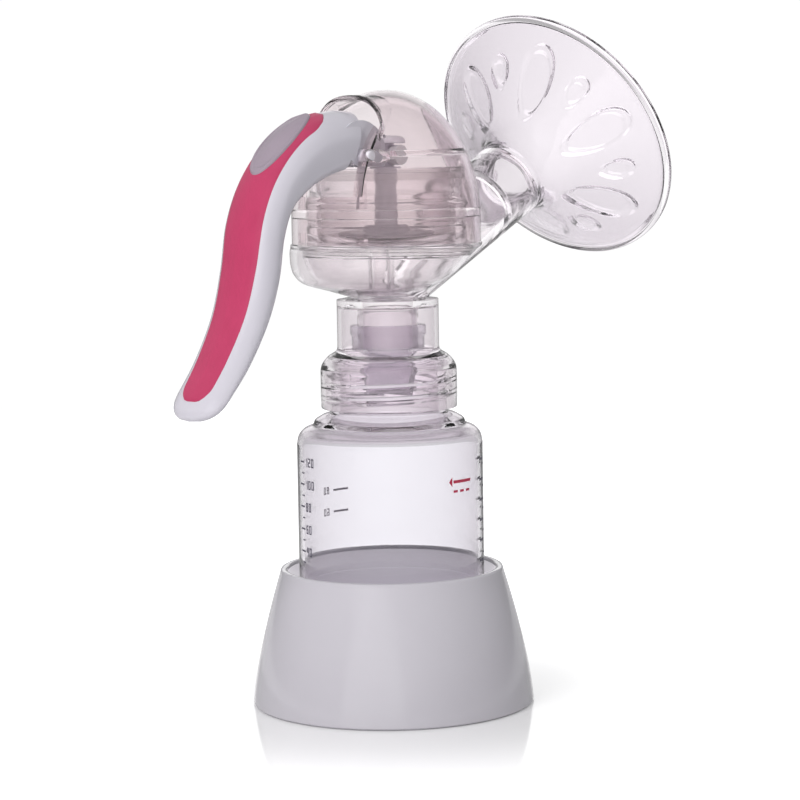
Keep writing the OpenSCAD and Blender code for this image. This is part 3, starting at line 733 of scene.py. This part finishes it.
film_r, film_t, hook_r = cup_bore - 0.3, 1.2, rim_r + 0.05
film = lathe("diaphragm_skin", soften(
    [(3.5, film_floor), (14.8, film_floor, 0.8), (15.9, film_floor + 0.55, 0.8),
     (17.0, film_floor, 0.8), (film_r - 2.5, film_floor, 1.2), (film_r - 0.7, film_floor + 0.7, 0.8),
     (film_r, film_floor + 2.5, 1.0)]
    + [(film_r - (0.35 if k % 2 else 0.0), film_floor + 4.2 + 2.0 * k, 0.8) for k in range(7)]
    + [(film_r, film_floor + 18.4), (film_r, cup_top + 0.02, 0.2), (hook_r, cup_top + 0.02, 0.2),
       (hook_r, cup_top - 2, 0.2), (hook_r + 0.8, cup_top - 2, 0.3),
       (hook_r + 0.8, film_top, 0.6), (film_r - film_t, film_top, 0.6)]
    + [(film_r - film_t - (0.35 if k % 2 else 0.0), film_floor + 4.2 + 2.0 * k, 0.8)
       for k in range(6, -1, -1)]
    + [(film_r - film_t, film_floor + 2.8, 0.8), (film_r - film_t - 1.6, film_floor + film_t, 0.9),
       (17.0, film_floor + film_t, 0.6), (15.9, film_floor + film_t + 0.5, 0.6),
       (14.8, film_floor + film_t, 0.6), (3.5, film_floor + film_t)], 0.3), 160)
settle(film, None, "diaphragm", film_mat)
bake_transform(film)

disc_z = film_floor + film_t + 0.02
disc = lathe("lift_disc", soften(
    [(3.45, disc_z), (14, disc_z, 0.4), (14, disc_z + 1.1, 0.5), (11.5, disc_z + 1.5, 0.5),
     (9.5, disc_z + 1.2, 0.5), (7.0, disc_z + 1.6, 0.5), (6.0, disc_z + 4, 0.6),
     (3.45, disc_z + 4, 0.3)], 0.3), 128)
settle(disc, "rod", "diaphragm_plate", rod_mat)

neck_lo, neck_hi = pivot_z - 3.35, pivot_z + 3.35
rod = lathe("pull_stem", soften(
    [(0, rod_foot), (5.5, rod_foot, 0.4), (5.5, film_floor - 0.02, 0.2), (3.4, film_floor - 0.02),
     (3.4, 148, 0.3), (3.1, 148.6, 0.3), (3.1, 152.4, 0.3), (3.4, 153, 0.3),
     (3.4, neck_lo - 1.6, 0.5), (4.6, neck_lo - 1, 0.5), (4.6, neck_lo, 0.3), (2.6, neck_lo, 0.3),
     (2.6, neck_hi, 0.3), (6, neck_hi, 0.3), (6, neck_hi + 1.2, 0.7), (4.6, neck_hi + 2.2, 0.9),
     (0, rod_top)], 0.3), 96)
settle(rod, "rod", "pull_rod", rod_mat)


# ---------------- cover

mid_z = 144.0
cover_wall = 1.8
slot_half, jamb_t = 10.5, 1.9
hood_x, hood_r, hood_z = 15.0, 13.4, 165.5
rise = dome_top - mid_z


def cover_form(name, r, h, z0, steps=160):
    """The cover's solid outside or inside: an upright wall and a dome of height h over mid_z."""
    line = [(r * math.cos(a), mid_z + h * math.sin(a)) for a in np.linspace(0, math.pi / 2, 49)]
    line[-1] = (0, mid_z + h)
    return lathe(name, [(0, z0), (r, z0)] + line, steps)


def slot_form(z0, z1, flare=1.4):
    """The slot's cutter, its edges flared towards the inside across the wall."""
    loops = []
    for z in np.linspace(z0, z1, 17):
        level = max(0.0, 1 - ((z - mid_z) / rise) ** 2)
        face, back = (-math.sqrt(max(r * r * level - slot_half ** 2, hood_x ** 2))
                      for r in (dome_r, dome_r - cover_wall - 0.3))
        half = [(-40, slot_half), (face - 0.05, slot_half),
                (max(back, face + 0.3), slot_half + flare),
                (-hood_x + 0.7, slot_half + flare)]
        loops.append([(x, -y, z) for x, y in half] + [(x, y, z) for x, y in half[::-1]])
    return skin("slot", loops)


dome = cover_form("dome_clear", dome_r, rise, dome_z)
add(dome, arch("hood", 14.0, hood_r + 0.6, -hood_x, -hood_x + 12, hood_z))
cut(dome, cover_form("dome_in", dome_r - cover_wall, rise - cover_wall, dome_z - 1),
    arch("hood_in", 12.6, hood_r - 0.8, -hood_x - 1, -hood_x + 11, hood_z + 0.01),
    slot_form(150.5, 182.5))
guide_r = cup_r + 0.3
ledge = lathe("ledge", soften([(dome_r - 1, 144), (dome_r - 1, 146.6), (guide_r, 146.6, 0.4),
                               (guide_r, 144, 0.4)], 0.1), 160)
shelf = lathe("shelf", soften([(dome_r, 161.5), (dome_r, 163.3), (20.4, 163.3, 0.5),
                               (20.4, 161.5, 0.5)], 0.1), 160)
keep(shelf, cover_form("trim", dome_r - 0.9, rise - 0.9, dome_z))
keep(shelf, block("front", (-14, -40, 100), (60, 40, 200)))
add(dome, ledge, shelf)

# the plates on both sides of the slot, inside the wall, in a paler copy of the dome's plastic:
# painted light
jamb_y = slot_half + jamb_t / 2
jambs = add(*[block("slot_jambs", (-40, s * jamb_y - jamb_t / 2, dome_z + 0.1),
                    (-hood_x, s * jamb_y + jamb_t / 2, dome_z + 34)) for s in (-1, 1)])
cut(jambs, column("clear", guide_r + 0.9, 100, cup_top + 2),
    block("shelf_gap", (-40, -20, 140), (0, 20, 147)))
keep(jambs, cover_form("shape", dome_r - cover_wall - 0.03, rise - cover_wall - 0.03, dome_z))
cut(jambs, bar("pin_hole", 2.0, -30, 30, pivot_x, pivot_z, "Y", 64))
settle(tidy(jambs, 26), "cover", "dome_cover", jamb_lightened_mat)

# a rolled lip along the hood's arch
bead = []
for a in np.linspace(math.radians(3), math.radians(177), 73):
    c, up_s = math.cos(a), math.sin(a)
    y, z = math.copysign(abs(c) ** 0.8, c) * 13.3, up_s ** 0.8 * (hood_r - 0.1)
    out_y, out_z = y / math.hypot(y, z), z / math.hypot(y, z)
    t = np.linspace(0, 2 * math.pi, 16, endpoint=False)
    bead.append(np.c_[-hood_x + 0.25 + 0.65 * np.sin(t), y + 0.65 * out_y * np.cos(t),
                      hood_z + z + 0.65 * out_z * np.cos(t)])
add(dome, skin("bead", bead))
cut(dome, bar("pin_hole", 2.0, -30, 30, pivot_x, pivot_z, "Y", 64))
settle(tidy(dome, 26), "cover", "dome_cover", dome_mat)

turn_y = Matrix.Translation((pivot_x, 0, pivot_z)) @ Matrix.Rotation(math.pi / 2, 4, "X")
pin = lathe("hinge_pin", soften(
    [(0, -pin_half), (1.4, -pin_half, 0.2), (1.98, -pin_half + 0.6, 0.3),
     (1.98, pin_half - 0.6, 0.3), (1.4, pin_half, 0.2), (0, pin_half)], 0.3), 64, turn_y)
settle(pin, "cover", "pivot_pin", rod_mat)


# ---------------- handle

OUTER = [(-17.4, 175.0), (-24, 174.9), (-36, 172.6), (-46, 166.2), (-54, 156.5),
         (-59.2, 145), (-61.8, 132), (-65.6, 119.2), (-72.0, 107.5), (-79.0, 97.6), (-82.4, 91.6)]
INNER = [(-24.0, 158.2), (-27.5, 157.6), (-33, 156.1), (-40, 153), (-47, 147.6),
         (-50.6, 139.6), (-52.8, 128.5), (-57.4, 117), (-65.2, 105.2), (-73.4, 96.4),
         (-78.8, 90.4)]

# half sections from the crest to the back: across, and share of the way down, at the
# head, the middle and the tip
HEAD = [(0, 0), (3.0, 0.03), (5.6, 0.10), (7.9, 0.235), (9.1, 0.36), (9.8, 0.50), (9.8, 0.74),
        (9.4, 0.90), (8.0, 0.985), (4.5, 1), (0, 1)]
MIDDLE = [(0, 0), (3.0, 0.03), (5.6, 0.09), (7.9, 0.20), (9.2, 0.38), (9.8, 0.60), (9.6, 0.80),
          (8.8, 0.94), (7.2, 1.0), (4.0, 1), (0, 1)]
LOW = [(0, 0), (3.0, 0.03), (5.2, 0.08), (7.2, 0.19), (9.0, 0.42), (9.8, 0.66), (9.4, 0.85),
       (8.4, 0.97), (6.8, 1.0), (4.0, 1), (0, 1)]
SPAN = 9
outer_line = np.array(curve(OUTER, SPAN))
inner_line = np.array(curve(INNER, SPAN))
count = len(outer_line)
middle_line = (outer_line + inner_line) / 2
# length along the middle from the head, and what is left to the tip
reach = np.r_[0, np.cumsum(np.linalg.norm(np.diff(middle_line, axis=0), axis=1))]
left = reach[-1] - reach


def section(t):
    """Half section at share t of the way from the head to the tip."""
    keys = [(0.0, HEAD), (0.28, HEAD), (0.55, MIDDLE), (0.85, LOW), (1.0, LOW)]
    for (t0, a), (t1, b) in zip(keys, keys[1:]):
        if t <= t1:
            k = (t - t0) / (t1 - t0)
            k = k * k * (3 - 2 * k)
            return np.array(a) * (1 - k) + np.array(b) * k
    return np.array(LOW)


def tip_share(i, radius, power=2.0):
    """How full the section is near the rounded tip."""
    return max(0.0, 1 - max(0.0, 1 - left[i] / radius) ** power) ** (1 / power)


def crest_point(i, across, out=0.0):
    """A point on the handle's outer face: across its width, out from the face."""
    half = section(i / (count - 1))
    wide = np.interp(abs(across), half[:5, 0], half[:5, 1])
    down = inner_line[i] - outer_line[i]
    p = outer_line[i] + down * wide - down / np.linalg.norm(down) * out
    return (p[0], across, p[1])


loops = []
for i in range(count):
    half = section(i / (count - 1))
    fine = np.array(curve(half, 5))
    fullw, fullh = max(tip_share(i, 8.0, 2.3), 0.02), max(tip_share(i, 3.6), 0.02)
    o, n = outer_line[i], inner_line[i]
    mid = middle_line[i]
    around = [(y * fullw, k) for y, k in fine[:-1]] + [(-y * fullw, k) for y, k in fine[:0:-1]]
    loop = []
    for y, k in around:
        p = mid + (o + (n - o) * k - mid) * fullh
        loop.append((p[0], y, p[1]))
    loops.append(loop)
handle = skin("handle_body", loops, sharp=50)
hub = bar("hub", 10.2, -8.4, 8.4, pivot_x, pivot_z, "Y", 128)
cut(hub, block("under", (-60, -20, 140), (10, 20, pivot_z - 3.2)))
add(handle, hub)
# the fork's two arms, one each side of the stem's neck
fork = block("handle_fork", (-11, 3.4, pivot_z - 1.2), (0, 6.4, pivot_z + 1.2))
add(fork, block("shank", (-11, -6.4, pivot_z - 1.2), (0, -3.4, pivot_z + 1.2)))
for s in (-1, 1):
    add(fork, bar("nose", 2.9, s * 4.9 - 1.5, s * 4.9 + 1.5, 0, pivot_z, "Y", 64))
settle(tidy(fork), "handle", "handle_shell", fork_mat)
squeeze = math.radians(25)


def turned_back(x, z):
    """A point near the pivot, turned back from the end of the squeeze."""
    return (pivot_x + x * math.cos(squeeze) + z * math.sin(squeeze),
            pivot_z + z * math.cos(squeeze) - x * math.sin(squeeze))


# relief under the head, so that it clears the membrane's rim at both ends of the squeeze
rim_low = cup_top + 1.7 - pivot_z
rim_left = -pivot_x - rim_r - 1.4
cut(handle, prism("relief", [(pivot_x + 6, pivot_z + rim_low), (pivot_x, pivot_z + rim_low),
                            turned_back(0, rim_low), turned_back(rim_left, rim_low),
                            turned_back(rim_left, rim_low - 8),
                            (pivot_x + 6, pivot_z + rim_low - 8)], 24),
    bar("eye", 2.06, -20, 20, pivot_x, pivot_z, "Y", 64))


def strip(name, first, last, width, top_out, depth, soft, across_steps=24, under=False):
    """A closed strip that follows the handle's face (or its back) between two stations,
    with round ends and soft edges."""
    ends = reach[last] - reach[first]
    loops = []
    for i in range(first, last + 1):
        along = reach[i] - reach[first]
        w = width(along / ends)
        end_r = min(w, 8.0)
        near = min(along, ends - along)
        w *= math.sqrt(max(0.0, 1 - max(0.0, 1 - near / end_r) ** 2))
        w = max(w, 0.01)
        o, n = outer_line[i], inner_line[i]
        unit = (n - o) / np.linalg.norm(n - o)
        top, low = [], []
        for v in np.cos(np.linspace(0, math.pi, across_steps)):
            y = v * w
            fall = min(1.0, (w - abs(y)) / soft) if w > soft else 0.0
            fall = math.sin(fall * math.pi / 2)
            end_fall = math.sin(min(1.0, near / soft) * math.pi / 2)
            out = -depth * 0.5 + (top_out + depth * 0.5) * min(fall, end_fall)
            if under:
                p, q = n + unit * out, n - unit * depth
                top.append((p[0], y, p[1]))
                low.append((q[0], y, q[1]))
            else:
                top.append(crest_point(i, y, out))
                low.append(crest_point(i, y, -depth))
        loops.append(top + low[::-1])
    return skin(name, loops, sharp=60)


grip_first = int(np.searchsorted(-outer_line[:, 0], 27.5))
grip_last = int(np.searchsorted(-outer_line[:, 1], -96.3))
grip = strip("grip_pink", grip_first, grip_last, lambda t: 7.7 - 1.9 * max(0, t - 0.45) / 0.55,
             0.28, 0.8, 0.9, 30)
settle(grip, "handle", "grip_inlay", grip_mat)

back_first, back_last = int(SPAN * 2.6), int(SPAN * 9.2)
cut(handle, strip("channel", back_first, back_last, lambda t: 6.9 - 1.2 * t,
                  0.6, 1.2, 0.05, 20, True))
back = strip("handle_back_cover", back_first, back_last, lambda t: 6.7 - 1.2 * t,
             0.05, 1.1, 0.5, 20, True)
settle(back, "handle", "handle_back", handle_mat)
settle(tidy(handle, 40), "handle", "handle_shell", handle_mat)

# badge: an oval plate with a raised rim, laid on the crest
badge_mid, badge_a, badge_b = 22.4, 11.4, 5.7


def face_point(s, y, out):
    """A point on the outer face at length s from the head."""
    f = float(np.interp(s, reach, np.arange(count)))
    i = min(int(f), count - 2)
    p, q = np.array(crest_point(i, y, out)), np.array(crest_point(i + 1, y, out))
    return tuple(p + (q - p) * (f - i))


badge_rings = []
turns = np.linspace(0, 2 * math.pi, 72, endpoint=False)
# share of the oval, and height over the face: flat, then the rim, then the underside
for share, out in ((0.0, 0.55), (0.30, 0.55), (0.60, 0.55), (0.80, 0.55), (0.855, 0.57),
                   (0.875, 0.78), (0.91, 0.86), (0.955, 0.84), (0.985, 0.66), (1.0, 0.3),
                   (1.0, -0.3), (0.6, -0.3), (0.0, -0.3)):
    badge_rings.append([face_point(badge_mid + badge_a * share * math.cos(a),
                                   badge_b * share * math.sin(a), out) for a in turns])
badge = skin("badge_plate", badge_rings, sharp=60)
settle(badge, "handle", "badge", badge_mat)


# ---------------- shield and cushion

throat_r = 12.0


def funnel(d):
    """The shield's funnel, as radius and distance along its axis, d inside its outer face."""
    return [(throat_r - d, 66 - 0.2 * d), (13.4 - d, 69.2 + 0.2 * d),
            (17 - d * 0.8, 73.4 + d * 0.6), (24 - d * 0.7, 78.6 + d * 0.7),
            (33 - d * 0.6, 84.4 + d * 0.8), (39.6 - d * 0.4, 88.6 + d)]


shield = lathe("shield_clear", soften(
    [(8.4, 50, 0.3), (9.95, 50, 0.3), (9.95, 62.05, 0.1), (throat_r, 62.05, 0.5),
     (throat_r, 63.6, 0.3)] + curve(funnel(0), 8)
    + [(40.4, 89.3, 0.5), (40.4, 90.6, 0.5)] + curve(funnel(1.8), 8)[::-1]
    + [(10.2, 64, 0.5), (8.4, 61, 0.6)], 0.3, 4), 224, on_axis)
settle(shield, "pump body", "breast_shield", shield_mat)

# six large petals and six small: turn, middle radius, half length, half width, height
PETALS = [(17 + 60 * k, 25.0, 9.2, 5.3, 1.5) for k in range(6)]
PETALS += [(47 + 60 * k, 27.5, 3.9, 3.0, 1.2) for k in range(6)]


def petal_rise(r, a):
    """Height of the petals at radius r and angle a (degrees) on the cushion."""
    best = 0.0
    for turn, mid, long_r, short_r, tall in PETALS:
        d = math.radians((a - turn + 180) % 360 - 180)
        if abs(d) > 0.6:
            continue
        u, v = (r * math.cos(d) - mid) / long_r, r * math.sin(d)
        v /= short_r * (1 + 0.18 * u)
        q = math.sqrt(u * u + v * v)
        k = min(1.0, max(0.0, (1.06 - q) / 0.17))
        best = max(best, tall * k * k * (3 - 2 * k) * (1 - 0.16 * min(q, 1) ** 2))
    return best


back_d, lining = 2.1, 1.6
front_line = curve(funnel(back_d + lining), 15)
back_line = curve(funnel(back_d), 15)
rim = [(40.7, 90.9), (40.75, 89.4), (41.2, 88.98), (41.75, 89.3), (42.0, 90.3), (42.0, 91.4),
       (41.7, 92.0), (40.8, 92.4), (39.6, 92.4), (38.6, 92.05)]
throat_line = [(7.0, 63.7), (6.95, 63.15), (7.3, 62.95), (8.4, 63.9),
               (throat_r - back_d - 0.1, 65.4)]
angles = np.linspace(0, 360, 360, endpoint=False)
loops = []
for r, z in throat_line:
    loops.append([(r, z, 0.0)] * len(angles))
for r, z in back_line:
    loops.append([(r, z, petal_rise(r + 0.9, a) * 0.82) for a in angles])
for r, z in curve(rim, 3):
    loops.append([(r, z, 0.0)] * len(angles))
for r, z in front_line[::-1]:
    loops.append([(r, z, petal_rise(r, a)) for a in angles])

# each petal rises square to the funnel's slope: inwards and forwards
cushion_rings = []
for loop in loops:
    row = []
    for (r, z, up), a in zip(loop, angles):
        c, s = math.cos(math.radians(a)), math.sin(math.radians(a))
        inward = r - up * 0.48
        row.append((inward * c, inward * s, z + up * 0.87))
    cushion_rings.append(row)
cushion = skin("petal_cushion", cushion_rings, True, on_axis, 60)
settle(cushion, "cushion", "massage_cushion", cushion_mat)


# ---------------- stage, light and camera

def panel(name, at, to, wide, tall, watts, colour=(1, 1, 1)):
    """A soft rectangular lamp that faces a point."""
    data = bpy.data.lights.new(name, "AREA")
    data.shape, data.size, data.size_y = "RECTANGLE", wide, tall
    data.energy, data.color = watts, colour
    lamp = bpy.data.objects.new(name, data)
    lamp.location = at
    lamp.rotation_mode = "QUATERNION"
    lamp.rotation_quaternion = (Vector(to) - Vector(at)).to_track_quat("-Z", "Y")
    bpy.context.scene.collection.objects.link(lamp)
    return lamp


floor = lathe("floor_disc", [(0, -3), (900, -3), (900, -0.02), (0, -0.02)], 128)
floor_mat = plastic("floor_white", (0.80, 0.80, 0.81), 0.10, 60, 0.0, 0.01, IOR=2.5)
f_tree = floor_mat.node_tree
floor_shader = f_tree.nodes["Principled BSDF"]
floor_shader.inputs["Emission Color"].default_value = (1, 1, 1, 1)


def maths(tree, way, one, two):
    """A sum, product or larger of two values."""
    node = new_node(tree, "Math")
    node.operation = way
    for slot, value in enumerate((one, two)):
        if isinstance(value, float):
            node.inputs[slot].default_value = value
        else:
            tree.links.new(value, node.inputs[slot])
    return node.outputs[0]


# away from the stand the floor turns from glossy and grey to plain and pale
place = new_node(f_tree, "TexCoord")
away = new_node(f_tree, "VectorMath")
away.operation = "LENGTH"
f_tree.links.new(place.outputs["Object"], away.inputs[0])
near_stand = (away.outputs["Value"], 0.045, 0.14)
ray = new_node(f_tree, "LightPath")
straight = maths(f_tree, "MAXIMUM", ray.outputs["Is Camera Ray"],
                 ray.outputs["Is Transmission Ray"])
f_tree.links.new(maths(f_tree, "MULTIPLY", smooth_step(f_tree, *near_stand, 0.16, 0.70), straight),
                 floor_shader.inputs["Emission Strength"])
f_tree.links.new(smooth_step(f_tree, *near_stand, 0.6, 0.0),
                 floor_shader.inputs["Specular IOR Level"])
floor.data.materials.append(floor_mat)

middle = Vector((0, 0, 0.1))
for lamp in (panel("key", (-0.85, -0.15, 0.62), middle, 0.42, 0.55, 4.9, (1, 0.985, 0.98)),
             panel("fill", (-0.6, -0.8, 0.3), middle, 0.4, 0.6, 0.9),
             panel("top", (-0.05, 0.05, 1.1), middle, 0.9, 0.9, 1.4),
             panel("back", (0.7, 0.5, 0.5), middle, 0.4, 0.5, 0.8)):
    lamp.visible_glossy = lamp.visible_transmission = False

world = bpy.data.worlds.new("studio")
bpy.context.scene.world = world
world.use_nodes = True
w_tree = world.node_tree
ground = w_tree.nodes["Background"]
ground.inputs["Color"].default_value = (1, 1, 1, 1)
path_info = new_node(w_tree, "LightPath")
towards = new_node(w_tree, "TexCoord")
split = new_node(w_tree, "SeparateXYZ")
w_tree.links.new(towards.outputs["Generated"], split.inputs[0])
height = split.outputs["Z"]


def facing(way):
    """How far a direction of the world points one way, up to 1."""
    dot = new_node(w_tree, "VectorMath")
    dot.operation = "DOT_PRODUCT"
    dot.inputs[1].default_value = way
    w_tree.links.new(towards.outputs["Generated"], dot.inputs[0])
    return dot.outputs["Value"]


def ramp(source, *ranges):
    return smooth_step(w_tree, source, *ranges)


def combined(way, one, two):
    return maths(w_tree, way, one, two)


# a white card low at the back, for the floor's reflection
card = combined("MULTIPLY", ramp(facing((0.7354, 0.6777, 0)), 0.90, 0.95, 0, 1),
                combined("MULTIPLY", ramp(height, 0.10, 0.16, 0, 1),
                         ramp(height, 0.30, 0.42, 1, 0)))
# a soft light at the left, over a sky that is brighter above
soft = combined("MULTIPLY", ramp(facing((-0.90, -0.43, 0)), 0.86, 0.93, 0, 1), 0.7)
sky = combined("ADD", combined("ADD", combined("MULTIPLY", card, 0.9), soft),
               ramp(height, -0.05, 0.6, 0.26, 0.5))
# what shows straight and through clear walls
through = combined("MULTIPLY", path_info.outputs["Is Transmission Ray"],
                   ramp(height, 0.2, 0.7, 1.0, 0.5))
seen = combined("MAXIMUM", through,
                combined("MULTIPLY", path_info.outputs["Is Camera Ray"], 1.02))
w_tree.links.new(combined("MAXIMUM", sky, seen), ground.inputs["Strength"])

scene = bpy.context.scene
scene.view_settings.view_transform = "Standard"
scene.cycles.max_bounces = 28
scene.cycles.transmission_bounces = 28
scene.cycles.transparent_max_bounces = 16
scene.cycles.glossy_bounces = 8
scene.cycles.diffuse_bounces = 4

cam_data = bpy.data.cameras.new("camera")
cam_data.sensor_width, cam_data.lens = 36, 114.6
cam_data.clip_start, cam_data.clip_end = 0.05, 10
camera = bpy.data.objects.new("camera", cam_data)
scene.collection.objects.link(camera)
scene.camera = camera
# the object seen from the front left, a little above, with the picture's slight roll and
# the object just left of its middle
place = Vector((-0.5508, -0.5076, 0.16614))
ahead = (Vector((0, 0, 0.09)) - place).normalized()
right = ahead.cross(Vector((0, 0, 1))).normalized()
up = right.cross(ahead)
roll = math.radians(-0.93)
right, up = (right * math.cos(roll) + up * math.sin(roll),
             up * math.cos(roll) - right * math.sin(roll))
ahead = (ahead + right * 0.00428).normalized()
right = ahead.cross(up).normalized()
up = right.cross(ahead)
camera.matrix_world = Matrix((
    (right.x, up.x, -ahead.x, place.x), (right.y, up.y, -ahead.y, place.y),
    (right.z, up.z, -ahead.z, place.z), (0, 0, 0, 1)))
